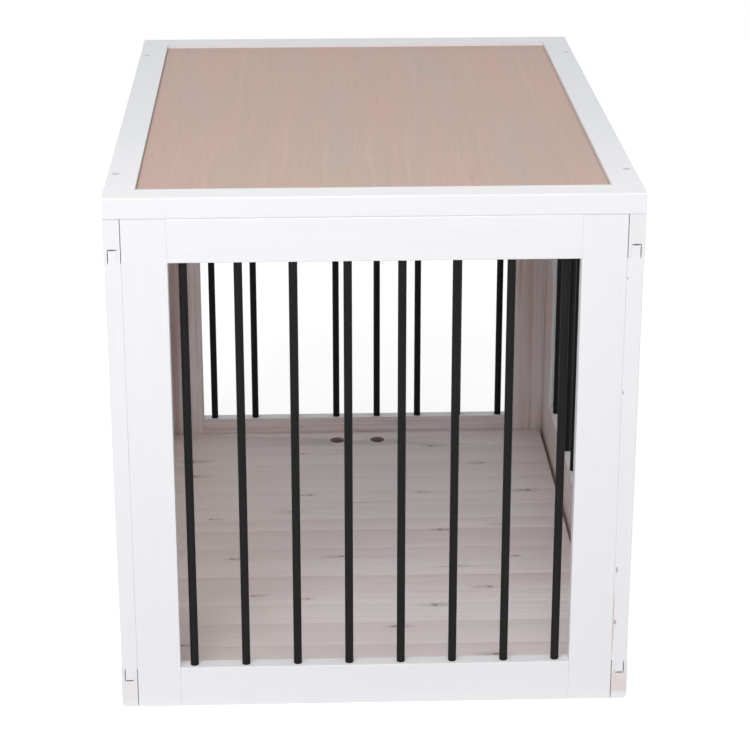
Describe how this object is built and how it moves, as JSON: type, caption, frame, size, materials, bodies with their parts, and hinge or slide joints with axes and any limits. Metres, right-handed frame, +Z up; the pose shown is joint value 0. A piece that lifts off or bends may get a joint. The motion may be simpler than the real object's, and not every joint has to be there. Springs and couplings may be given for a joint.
{
  "type": "dog crate end table",
  "caption": "Wooden dog crate with barred sides, a side door and a lift-out floor, under an inset wood table top.",
  "frame": {"origin": "centre of the footprint, on the ground", "axes": "+Z up; +Y from the front end to the back end, along the length; +X towards the side with the door"},
  "size_m": [0.5988, 0.78, 0.618],
  "materials": {
    "white_paint": "satin white paint",
    "top_veneer": "satin clear coat",
    "floor_pine": "matte whitewash",
    "bare_pine": "matte",
    "dowel_beech": "matte",
    "black_bar": "satin",
    "black_hardware": "satin",
    "zinc_steel": "satin"
  },
  "bodies": {
    "crate": {"back_bars": "black_bar", "back_bottom_rail": "white_paint", "back_frame_dowels": "dowel_beech", "back_stile_left": "white_paint", "back_stile_right": "white_paint", "back_top_rail": "white_paint", "corner_bolts": "zinc_steel", "corner_inserts": "zinc_steel", "floor_cleat_back": "bare_pine", "floor_cleat_front": "bare_pine", "floor_cleat_left": "bare_pine", "floor_cleat_right": "bare_pine", "floor_cleat_screws": "zinc_steel", "front_bars": "black_bar", "front_bottom_rail": "white_paint", "front_frame_dowels": "dowel_beech", "front_stile_left": "white_paint", "front_stile_right": "white_paint", "front_top_rail": "white_paint", "hinge_frame_leaf_lower": "black_hardware", "hinge_frame_leaf_upper": "black_hardware", "hinge_frame_screws": "black_hardware", "hinge_pin_lower": "black_hardware", "hinge_pin_upper": "black_hardware", "keeper_screws": "black_hardware", "latch_keeper": "black_hardware", "left_bars": "black_bar", "left_bottom_rail": "white_paint", "left_stile_back": "white_paint", "left_stile_front": "white_paint", "left_top_rail": "white_paint", "right_bars": "black_bar", "right_bottom_rail": "white_paint", "right_centre_stile": "white_paint", "right_stile_back": "white_paint", "right_stile_front": "white_paint", "right_top_rail": "white_paint", "top_end_rail_back": "white_paint", "top_end_rail_front": "white_paint", "top_frame_dowels": "dowel_beech", "top_long_rail_left": "white_paint", "top_long_rail_right": "white_paint", "top_panel": "top_veneer", "top_screw_plugs": "white_paint", "top_screws": "zinc_steel"},
    "door": {"door_bars": "black_bar", "door_bottom_rail": "white_paint", "door_hinge_stile": "white_paint", "door_latch_stile": "white_paint", "door_top_rail": "white_paint", "hinge_door_leaf_lower": "black_hardware", "hinge_door_leaf_upper": "black_hardware", "hinge_door_screws": "black_hardware", "latch_plate": "black_hardware", "latch_screws": "black_hardware"},
    "bolt": {"latch_bolt": "black_hardware"},
    "floor": {"floor_panel": "floor_pine"}
  },
  "joints": [
    {"name": "door_hinge", "type": "hinge", "parent": "crate", "child": "door", "pos_m": [0.2974, 0.3385, 0.297], "axis": [0, 0, 1], "range_deg": [0, 180]},
    {"name": "latch_slide", "type": "slide", "parent": "door", "child": "bolt", "axis": [0, -1, 0], "range_m": [0, 0.017]},
    {"name": "floor_lift", "type": "slide", "parent": "crate", "child": "floor", "axis": [0, 0, 1], "range_m": [0, 0.12]}
  ]
}
